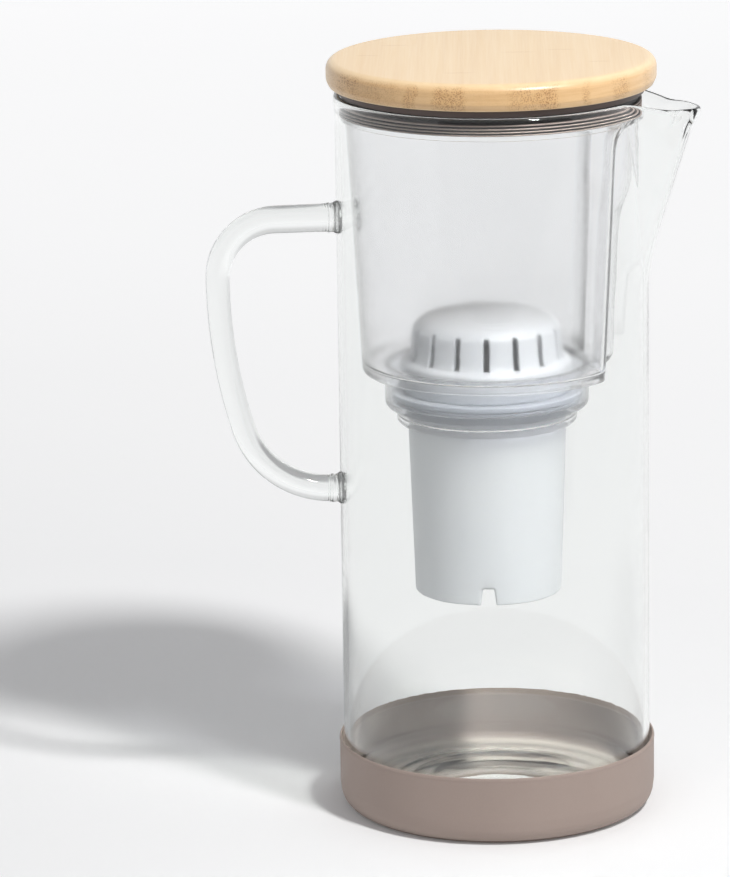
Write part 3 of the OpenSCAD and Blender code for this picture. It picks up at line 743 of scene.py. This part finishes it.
def hop_r(z, th, s, flare=0.0, zb=None):
    """Distance from the axis to the hopper's outline moved in by s, at angle th."""
    w = wall_r(z)
    disc = w - s
    c, sn = cos(th), sin(th)
    r = disc
    if c > 0.05:
        flat = (w * cos(math.radians(41)) + flare - s) / c
        r = smin(disc, flat, 2.2) if flat < disc + 2.2 else disc
    rb = bay_at(z if zb is None else zb) - s
    q = rb * rb - (32 * sn) ** 2
    if c > 0 and q > 0:
        b = 32 * c + math.sqrt(q)
        b = smin(b, disc, 0.8)
        if b > r - 1.2:
            r = smax(r, b, 1.2)
    return min(r, disc)


def hopper():
    angles = np.radians(np.concatenate([np.arange(-56, 56.01, 0.8), np.arange(59, 302, 3.0)]))

    def outline(z, s, flare=0.0, inset=0.0, zb=None):
        return [((hop_r(z, t, s, flare, zb) - inset) * cos(t), (hop_r(z, t, s, flare, zb) - inset) * sin(t), z)
                for t in angles]

    def circle(r, z, cx=0.0):
        return [(cx + r * cos(t), r * sin(t), z) for t in angles]

    rows = []
    # underside edge, then the outside
    for z, i in ((175.0, 1.0), (175.08, 0.62), (175.3, 0.3), (175.62, 0.08), (176.0, 0.0)):
        rows.append([(x, y, z) for x, y, _ in outline(max(z, 175.0), 0, 0, i)])
    for z in np.concatenate([np.arange(177, 230, 3.0), np.arange(230, 252, 1.1), np.arange(253, 262, 2.2)]):
        rows.append(outline(z, 0))
    for z, fl in flare_at:
        rows.append(outline(z, 0, fl))
    # stop ring and neck
    for r, z in fillet([(55.9, 274.0), (57.0, 274.0, 0.3), (57.0, 276.0, 0.3), (55.05, 276.0, 0.25), (55.05, 285.7, 0.6),
                        (53.25, 285.7, 0.5), (53.25, 276.4, 0.3), (54.0, 276.4)], False, 4)[1:]:
        rows.append(circle(r, z))
    # inside, down to the floor
    for z, fl in flare_at[::-1]:
        rows.append([(x, y, z + (z - 262.0) / 12 * 2.2) for x, y, _ in outline(z, 1.8, fl)])
    for z in np.concatenate([np.arange(182, 230, 3.0), np.arange(230, 252, 1.1), np.arange(253, 262, 2.2)])[::-1]:
        rows.append(outline(z, 1.8))
    for z, i in ((180.2, 0.0), (179.3, 0.12), (178.6, 0.5), (178.15, 1.1), (178.0, 1.9)):
        rows.append([(x, y, z) for x, y, _ in outline(z, 1.8, 0, i)])
    # stepped bore, lip and the outside of the seat
    bore = fillet([(38.0, 178.0), (37.4, 178.0, 0.3), (37.4, 163.5, 0.3), (32.9, 163.5, 0.3), (32.9, 157.6, 0.4), (31.4, 157.0, 0.3),
                   (31.4, 154.3, 0.4), (34.9, 154.3, 3.0), (34.9, 160.6, 0.5), (39.4, 160.6, 3.3), (39.4, 174.97, 0.25),
                   (39.8, 175.0)], False, 6)[1:]
    for r, z in split(bore, 3.0):
        rows.append(circle(r, z, SEAT_X))
    v, f, _ = join_rows(rows, True)
    return add_mesh("hopper_shell", v, f, M_FROST, "insert", ["hopper"])


def gasket():
    z0 = 276.05
    prof = [(NECK_R, z0)]
    for i in range(4):
        z = z0 + 1.2 * i
        prof += [(56.2, z), (57.22, z), (57.42, z + 0.1), (57.5, z + 0.3), (57.42, z + 0.5), (57.22, z + 0.6), (56.2, z + 0.6)]
    collar = fillet([(56.2, 281.0), (56.2, Z_RIM, 0.25), (58.6, Z_RIM, 0.35), (58.6, 285.9, 0.55), (NECK_R, 285.9, 0.25),
                     (NECK_R, 280)], False, 5)[1:-1]
    prof = prof[1:] + collar + [(NECK_R, 281.0), (NECK_R, z0)]
    return revolve("gasket_ring", prof, M_GASKET, "insert", ["rim_gasket"], n=192, closed=True, sharp=45)


def lid():
    zt, zp, pr = 296.3, 277.0, 51.65
    ro = 63.1
    prof = fillet([(0, zp), (pr, zp, 0.9), (pr, 280.4, 0.15), (50.75, 280.4, 0.15), (50.75, 284.4, 0.15), (pr, 284.4, 0.15),
                   (pr, 286.0, 0.3), (61.9, 286.0, 1.0), (ro, 288.6, 2.4), (ro, zt, 4.6), (0, zt)], False, 12)
    prof = split(prof[:1] + prof[1:], 6.0)
    return revolve("bamboo_disc", prof, M_WOOD, "lid", ["lid_board"], n=192)


def seal():
    z0 = 280.4
    prof = smooth_line([(50.75, z0), (51.95, z0), (52.7, z0 + 0.35), (52.85, z0 + 0.7), (52.7, z0 + 1.05), (52.0, z0 + 1.4),
                        (51.95, z0 + 2.0), (52.0, z0 + 2.6), (52.7, z0 + 2.75), (52.85, z0 + 3.1), (52.7, z0 + 3.5),
                        (51.95, z0 + 4.0), (50.75, z0 + 4.0)], 0.25)
    return revolve("plug_seal", prof, M_DARK, "lid", ["lid_seal"], n=192, closed=True, sharp=50)


# --------------------------------------------------------------- cartridge
TURN = math.radians(-8)


def seat_place(p):
    x, y, z = p
    return (SEAT_X + x * cos(TURN) - y * sin(TURN), x * sin(TURN) + y * cos(TURN), z)


def through_holes(verts, faces, index, holes):
    """Side walls of openings: each is rows a0..a1 of one skin against rows b0..b1 of the other, columns c0..c1."""
    for a0, a1, b0, b1, c0, c1, n in holes:
        ra = list(range(a0, a1 + 1))
        rb = list(range(b1, b0 - 1, -1))
        cols = [c % n for c in range(c0, c1 + 1)]
        loop_a = [index[ra[0]][c] for c in cols] + [index[r][cols[-1]] for r in ra[1:]] \
            + [index[ra[-1]][c] for c in cols[-2::-1]] + [index[r][cols[0]] for r in ra[-2:0:-1]]
        loop_b = [index[rb[0]][c] for c in cols] + [index[r][cols[-1]] for r in rb[1:]] \
            + [index[rb[-1]][c] for c in cols[-2::-1]] + [index[r][cols[0]] for r in rb[-2:0:-1]]
        m = len(loop_a)
        for i in range(m):
            k = (i + 1) % m
            faces.append((loop_a[i], loop_a[k], loop_b[k], loop_b[i]))


def cap():
    zb, w = 167.35, 1.6
    c = 33.1
    z = Z_HOP
    slot_z = [179.75, 179.95, 180.6, 182.6, 186, 189, 190.8, 191.45, 191.65]
    # outside, from the crown down to the skirt; the slot's heights are among the rows
    outer_tab = [(0, z + 22.2), (6, z + 22.17), (c - 21, z + 21.9), (c - 16.5, z + 21.62), (c - 13, z + 21.2), (c - 10.2, z + 20.6),
                 (c - 8.1, z + 19.8), (c - 6.6, z + 18.9), (c - 5.5, z + 17.8)]
    side = curve_value([(z + 3.7, c - 0.5), (z + 4.1, c - 1.5), (z + 4.3, c - 2.0), (z + 4.9, c - 2.75), (z + 5.9, c - 3.3), (z + 9, c - 3.9),
                        (z + 15.5, c - 4.4), (z + 16.8, c - 4.8), (z + 17.8, c - 5.5)])
    outer = outer_tab[:-1] + [(side(q), q) for q in slot_z[::-1]]
    a0, a1 = len(outer) - len(slot_z), len(outer) - 1
    outer += [(c - 1.9, z + 4.27), (c - 1.1, z + 3.98), (c - 0.45, z + 3.6), (c - 0.1, z + 2.95), (c, z + 2.2), (c, z - 2), (c, zb + 0.5), (c - 0.15, zb + 0.1)]
    inner = [(c - w + 0.15, zb + 0.02), (c - w, zb + 0.4), (c - w, z - 2), (c - w, z + 1), (c - 2.3, z + 1.9), (c - 3.4, z + 2.5), (c - 4.4, z + 3.6)]
    side_in = curve_value([(z + 3.6, c - 4.4), (z + 5, c - 4.9), (z + 9, c - 5.5), (z + 15.2, c - 6), (z + 17, c - 6.8)])
    b0 = len(outer) + len(inner)
    inner += [(side_in(q), q) for q in slot_z]
    b1 = b0 + len(slot_z) - 1
    inner += [(c - 7.7, z + 17.6), (c - 9, z + 18.2), (c - 13.4, z + 19.6), (c - 21, z + 20.3), (0, z + 20.6)]
    prof = outer + inner
    half = 1.1 / 28.9
    offs = [-0.196, -0.13, -0.085, -0.062, -half - 0.008, -half, -half * 0.5, 0.0, half * 0.5, half, half + 0.008, 0.062, 0.085, 0.13]
    cols = []
    for i in range(16):
        cols += [-pi / 2 + 2 * pi / 16 * i + o for o in offs]
    n = len(cols)
    rows = []
    for r, zz in prof:
        rows.append([seat_place((0, 0, zz))] if r < 1e-6 else [seat_place((r * cos(t), r * sin(t), zz)) for t in cols])
    open_cols = set()
    for i in range(16):
        for k in range(5, 9):
            open_cols.add(i * len(offs) + k)

    def skip(i, j):
        return j in open_cols and (a0 <= i < a1 or b0 <= i < b1)

    v, f, index = join_rows(rows, False, skip)
    holes = [(a0, a1, b0, b1, i * len(offs) + 5, i * len(offs) + 9, n) for i in range(16)]
    through_holes(v, f, index, holes)
    return add_mesh("cartridge_dome", v, f, M_WHITE, "cartridge", ["cartridge_cap"], subsurf=1)


def cup():
    zc, zp, pt, t = 86.8, 94.2, 1.8, 1.5
    br, tr = 28.4, 30.6
    zt, zn = 164.85, 167.35
    zneck = 154.3

    def cin(z):
        return lerp(br, tr, clamp01((z - zc) / (zneck - zc))) - t

    def cout(z):
        return lerp(br, tr, clamp01((z - zc) / (zneck - zc)))

    prof = [(0, zp + pt), (4, zp + pt), (7.3, zp + pt)]
    b_plate = [8.0, 8.6, 12, 17, 20.4, 21.0]
    p0 = len(prof)
    prof += [(r, zp + pt) for r in b_plate]
    p1 = len(prof) - 1
    prof += [(22.5, zp + pt), (cin(zp + pt) - 0.5, zp + pt), (cin(zp + pt) - 0.05, zp + pt + 0.3), (cin(100), 100), (cin(125), 125), (cin(zneck), zneck),
             (29.1, 160), (29.1, 170), (29.1, 173.6), (29.25, 174.2), (29.6, 174.35), (30.8, 174.35), (31.15, 174.2), (31.3, 173.6), (31.3, 170),
             (31.3, zn + 0.4), (31.45, zn + 0.05), (31.9, zn), (36.1, zn), (36.55, zn - 0.15), (36.7, zn - 0.6), (36.7, zt + 0.6), (36.55, zt + 0.15), (36.1, zt),
             (31.9, zt), (31.5, zt - 0.15), (31.4, zt - 0.6), (31.4, 160.2), (31.3, 159.6), (30.7, 157.7), (30.6, 157.0), (30.6, 155), (cout(150), 150), (cout(125), 125)]
    foot_z = [94.5, 93.4, 93.1, 92.4, 90, 88, 87.4]
    f0 = len(prof) + 1
    prof += [(cout(q), q) for q in foot_z] + [(br - 0.1, zc + 0.15)]
    f1 = len(prof) - 1
    g0 = len(prof)
    prof += [(br - t + 0.1, zc + 0.05)] + [(cin(q), q) for q in foot_z[::-1]][:-1]
    g1 = len(prof) - 1
    prof += [(cin(94.0), 93.9), (cin(94.2) - 0.2, 94.18), (22.5, zp)]
    q0 = len(prof)
    prof += [(r, zp) for r in b_plate[::-1]]
    q1 = len(prof) - 1
    prof += [(7.3, zp), (4, zp), (0, zp)]
    # columns: slots of the plate at the middle of each 30 degree period, notches at its ends
    offs = ["n0", "n1", "n2", 8.9, "s-", "s0", "s+", 21.1, "m2", "m1"]
    cols_n = 12 * len(offs)

    def angle(k, r, z):
        per, o = divmod(k, len(offs))
        key = offs[o]
        half_slot = math.degrees(0.9 / r) if (r < 22.4 and 94 < z < 96.2 and r > 7) else 2.6
        half_slot = min(half_slot, 6.8)
        if z <= 93.2 and r > 25:
            half_notch = math.degrees(lerp(3.0, 2.05, clamp01((z - zc) / 6.3)) / r)
        else:
            half_notch = 4.1
        val = {"n0": 0.0, "n1": half_notch * 0.5, "n2": half_notch, "m2": 30 - half_notch, "m1": 30 - half_notch * 0.5,
               "s-": 15 - half_slot, "s0": 15.0, "s+": 15 + half_slot}.get(key, key)
        if key == 8.9:
            val = min(8.9, (half_notch + 15 - half_slot) / 2 + 0.6)
        if key == 21.1:
            val = 30 - min(8.9, (half_notch + 15 - half_slot) / 2 + 0.6)
        return math.radians(-90 + 30 * per + val)

    rows = []
    for r, zz in prof:
        rows.append([seat_place((0, 0, zz))] if r < 1e-6 else
                    [seat_place((r * cos(angle(k, r, zz)), r * sin(angle(k, r, zz)), zz)) for k in range(cols_n)])
    m = len(offs)
    slot_cols, notch_cols = set(), set()
    for i in range(12):
        slot_cols |= {i * m + 4, i * m + 5}
    for i in (0, 4, 8):
        notch_cols |= {(i * m + k) % cols_n for k in (-2, -1, 0, 1)}

    def skip(i, j):
        if j in slot_cols and (p0 <= i < p1 or q0 <= i < q1):
            return True
        if j in notch_cols and (f0 <= i < g1):
            return True
        return False

    v, f, index = join_rows(rows, False, skip)
    through_holes(v, f, index, [(p0, p1, q0, q1, i * m + 4, i * m + 6, cols_n) for i in range(12)])
    # the notches are open at the foot, so only their top and sides are closed
    half = (g1 - f0 + 1) // 2
    for i in (0, 4, 8):
        c = [(i * m + k) % cols_n for k in (-2, -1, 0, 1, 2)]
        ra = list(range(f0, f0 + half))
        rb = [g1 - k for k in range(half)]
        la = [index[r][c[0]] for r in ra[::-1]] + [index[ra[0]][x] for x in c[1:]] + [index[r][c[-1]] for r in ra[1:]]
        lb = [index[r][c[0]] for r in rb[::-1]] + [index[rb[0]][x] for x in c[1:]] + [index[r][c[-1]] for r in rb[1:]]
        for k in range(len(la) - 1):
            f.append((la[k], la[k + 1], lb[k + 1], lb[k]))
    return add_mesh("cartridge_body", v, f, M_WHITE, "cartridge", ["cartridge_cup"], subsurf=1)


def washer():
    z0, z1 = 163.5, 164.85
    prof = fillet([(31.6, z0, 0.3), (36.7, z0, 0.3), (36.7, z1, 0.3), (31.6, z1, 0.3)], True, 4)
    return revolve("seat_washer", prof, M_GREY, "cartridge", ["cartridge_gasket"], n=128, closed=True,
                   place=seat_place)


def media(name, nodes, z0, z1, mat, cells, depth, seed):
    """Loose granules packed in the cup: a lumpy skin inside the fill's own space."""
    rng = np.random.default_rng(seed)
    zc = 154.3

    def cin(z):
        return lerp(28.4, 30.6, clamp01((z - 86.8) / (zc - 86.8))) - 1.5 - 0.15

    prof = [(0, z0)] + [(r, z0) for r in np.arange(3, 26.5, 1.6)] + [(cin(z0), z0 + 0.4)]
    prof += [(cin(z), z) for z in np.arange(z0 + 1.9, z1 - 1, 1.6)]
    prof += [(cin(z1), z1 - 0.4)] + [(r, z1) for r in np.arange(3, 26.5, 1.6)[::-1]] + [(0, z1)]
    n = 120
    rows = []
    for r, z in prof:
        if r < 1e-6:
            rows.append([seat_place((0, 0, z))])
            continue
        row = []
        for j in range(n):
            t = 2 * pi * j / n
            d = depth * rng.random()
            rr = r - d
            zz = z + (d if z < (z0 + z1) / 2 else -d) * (1.0 if r < cin(z) - 0.5 else 0.0)
            row.append(seat_place((rr * cos(t), rr * sin(t), zz)))
        rows.append(row)
    v, f, _ = join_rows(rows)
    return add_mesh(name, v, f, mat, "cartridge", nodes)


def screen(name, nodes, z0, r):
    """A woven disc in a thin rim."""
    verts, faces = [], []

    def tube(points, rad, sides=5, closed=False):
        base = len(verts)
        m = len(points)
        for i, p in enumerate(points):
            a = points[(i - 1) % m] if (closed or i > 0) else p
            b = points[(i + 1) % m] if (closed or i < m - 1) else p
            d = np.array(b, float) - np.array(a, float)
            d /= np.linalg.norm(d)
            u = np.cross(d, (0, 0, 1.0))
            u /= np.linalg.norm(u)
            w = np.cross(u, d)
            for k in range(sides):
                q = 2 * pi * k / sides
                verts.append(tuple(np.array(p) + rad * (cos(q) * u + sin(q) * w)))
        for i in range(m if closed else m - 1):
            for k in range(sides):
                k2 = (k + 1) % sides
                i2 = (i + 1) % m
                faces.append((base + i * sides + k, base + i * sides + k2, base + i2 * sides + k2, base + i2 * sides + k))
        if not closed:
            faces.append(tuple(base + k for k in range(sides))[::-1])
            faces.append(tuple(base + (m - 1) * sides + k for k in range(sides)))

    pitch = 1.5
    wire = 0.17
    zm = z0 + 0.4
    count = int((r - 1.2) / pitch)
    for direction in (0, 1):
        for i in range(-count, count + 1):
            c = i * pitch
            half = math.sqrt(max(0, (r - 0.7) ** 2 - c * c))
            k = max(2, int(2 * half / (pitch / 2)))
            pts = []
            for j in range(k + 1):
                s = -half + 2 * half * j / k
                h = 0.19 * cos(pi * s / pitch) * (1 if i % 2 == 0 else -1) * (1 if direction == 0 else -1)
                pts.append((s, c, zm + h) if direction == 0 else (c, s, zm + h))
            tube(pts, wire)
    tube([((r - 0.45) * cos(2 * pi * j / 96), (r - 0.45) * sin(2 * pi * j / 96), zm) for j in range(96)], 0.39, 8, True)
    verts[:] = [seat_place(p) for p in verts]
    return add_mesh(name, verts, faces, M_MESH, "cartridge", nodes)


jug()
handle()
boot()
hopper()
gasket()
lid()
seal()
cap()
cup()
washer()
media("carbon_bed", ["carbon_fill"], 128.95, 170.9, M_CARBON, 1.0, 0.5, 11)
media("resin_bed", ["resin_fill"], 96.9, 128.9, M_RESIN, 1.0, 0.25, 12)
screen("upper_screen", ["top_screen"], 171.0, 29.0)
screen("lower_screen", ["bottom_screen"], 96.05, 27.0)


# -------------------------------------------------------- floor and lights
def floor():
    me = bpy.data.meshes.new("floor")
    n = 96
    rad = [0.0, 0.3, 0.8, 2.0, 5.0, 9.0]
    verts = [(0, 0, 0)] + [(r * cos(2 * pi * j / n), r * sin(2 * pi * j / n), 0) for r in rad[1:] for j in range(n)]
    faces = [(0, 1 + j, 1 + (j + 1) % n) for j in range(n)]
    for i in range(len(rad) - 2):
        a, b = 1 + i * n, 1 + (i + 1) * n
        faces += [(a + j, b + j, b + (j + 1) % n, a + (j + 1) % n) for j in range(n)]
    me.from_pydata(verts, [], faces)
    ob = bpy.data.objects.new("floor", me)
    scene.collection.objects.link(ob)
    mat, nt, p, out = material("floor_paper")
    c = noise(nt, coords(nt), 3.0, 3.0, 0.5)
    link(nt, ramp(nt, c, [(0.3, (0.845, 0.848, 0.857)), (0.7, (0.858, 0.861, 0.868))]), p.inputs["Base Color"])
    p.inputs["Roughness"].default_value = 0.8
    p.inputs["Specular IOR Level"].default_value = 0.1
    # the far part glows as a lit paper sweep does, by as much as the softbox gives it less
    foot = turned((-0.300, -0.600, 0.0))
    geo = node(nt, "ShaderNodeNewGeometry")
    away = node(nt, "ShaderNodeVectorMath", operation="DISTANCE")
    link(nt, geo.outputs["Position"], away.inputs[0])
    away.inputs[1].default_value = foot
    far = math_node(nt, "DIVIDE", away.outputs["Value"], 6.0)
    glow = ramp(nt, far, [(d / 6.0, grey(v)) for d, v in (
        (0.0, 0.0), (0.55, 0.006), (0.73, 0.018), (0.83, 0.033), (0.97, 0.072), (1.075, 0.118), (1.28, 0.205), (1.53, 0.305),
        (1.65, 0.345), (1.97, 0.42), (2.49, 0.50), (3.3, 0.55), (5.0, 0.57))])
    link(nt, glow, p.inputs["Emission Strength"])
    p.inputs["Emission Color"].default_value = (1.0, 1.0, 1.0, 1)
    me.materials.append(mat)


PSI = math.radians(-8)                # the object is turned 8 degrees in the photograph's own frame
KEY = (0.540, -0.655, 1.280)          # the softbox, in that frame
AIM = (-0.500, 0.700, 0.0)            # the point on the floor that it faces


def turned(v):
    return Vector((v[0] * cos(PSI) - v[1] * sin(PSI), v[0] * sin(PSI) + v[1] * cos(PSI), v[2]))


floor()


def lights():
    world = bpy.data.worlds.new("studio")
    scene.world = world
    world.use_nodes = True
    nt = world.node_tree
    nt.nodes.clear()
    out = nt.nodes.new("ShaderNodeOutputWorld")
    bg = nt.nodes.new("ShaderNodeBackground")
    tc = nt.nodes.new("ShaderNodeTexCoord")
    sep = nt.nodes.new("ShaderNodeSeparateXYZ")
    nt.links.new(tc.outputs["Generated"], sep.inputs[0])
    r = nt.nodes.new("ShaderNodeValToRGB")
    els = r.color_ramp.elements
    tones = ((0.0, 0.95), (0.16, 0.93), (0.34, 0.72), (0.74, 0.62), (0.84, 0.05), (1.0, 0.03))
    for _ in range(len(tones) - 2):
        els.new(0.5)
    for e, (pos, v) in zip(els, tones):
        e.position = pos
        e.color = (v, v, v * 1.01, 1)
    nt.links.new(sep.outputs[2], r.inputs["Fac"])
    nt.links.new(r.outputs["Color"], bg.inputs["Color"])
    bg.inputs["Strength"].default_value = 1.0
    nt.links.new(bg.outputs[0], out.inputs[0])
    box = bpy.data.lights.new("key", "AREA")
    box.shape = "ELLIPSE"
    box.size, box.size_y = 0.17, 0.21
    box.spread = math.radians(120)
    box.energy = 9.2
    box.color = (1.0, 0.995, 0.985)
    ob = bpy.data.objects.new("key", box)
    scene.collection.objects.link(ob)
    ob.location = turned(KEY)
    ob.rotation_mode = "QUATERNION"
    ob.rotation_quaternion = (turned(KEY) - turned(AIM)).to_track_quat("Z", "Y")


lights()


def flags():
    """A large black card on the camera's side that only gloss reflects, as a dark studio wall does."""
    mat, nt, p, out = material("flag_cloth")
    c = noise(nt, coords(nt), 900, 2.0, 0.5)
    link(nt, ramp(nt, c, [(0.3, grey(0.012)), (0.7, grey(0.022))]), p.inputs["Base Color"])
    p.inputs["Roughness"].default_value = 0.9
    p.inputs["Specular IOR Level"].default_value = 0.0
    cards = {
        "flag_front": ((-0.75, -0.95, 0.0), (1.60, -0.95, 0.0), (1.60, -0.95, 1.15), (-0.75, -0.95, 1.15)),
    }
    for name, pts in cards.items():
        me = bpy.data.meshes.new(name)
        me.from_pydata([tuple(turned(q)) for q in pts], [], [(0, 1, 2, 3)])
        me.materials.append(mat)
        ob = bpy.data.objects.new(name, me)
        scene.collection.objects.link(ob)
        ob.visible_camera = ob.visible_diffuse = ob.visible_shadow = ob.visible_transmission = False


flags()


def camera():
    dist, height, f = 2.005236, 0.648007, 5328.112
    yaw, pitch, roll = -0.025, 0.245, -0.015
    fwd = Vector((sin(yaw) * cos(pitch), cos(yaw) * cos(pitch), -sin(pitch)))
    r0 = Vector((cos(yaw), -sin(yaw), 0))
    u0 = r0.cross(fwd)
    right = cos(roll) * r0 + sin(roll) * u0
    up = -sin(roll) * r0 + cos(roll) * u0
    right, up, fwd = turned(right), turned(up), turned(fwd)
    cam = bpy.data.cameras.new("camera")
    cam.lens = f * 36.0 / 877.0
    cam.sensor_width = 36.0
    cam.sensor_fit = "AUTO"
    cam.clip_start, cam.clip_end = 0.1, 60
    ob = bpy.data.objects.new("camera", cam)
    scene.collection.objects.link(ob)
    m = Matrix.Identity(4)
    for i in range(3):
        m[i][0], m[i][1], m[i][2] = right[i], up[i], -fwd[i]
    pos = turned((0, -dist, height))
    for i in range(3):
        m[i][3] = pos[i]
    ob.matrix_world = m
    scene.camera = ob


camera()
scene.view_settings.view_transform = "Standard"
scene.view_settings.look = "None"
scene.cycles.max_bounces = 24
scene.cycles.transmission_bounces = 24
scene.cycles.transparent_max_bounces = 32
scene.cycles.glossy_bounces = 6

bpy.context.view_layer.update()
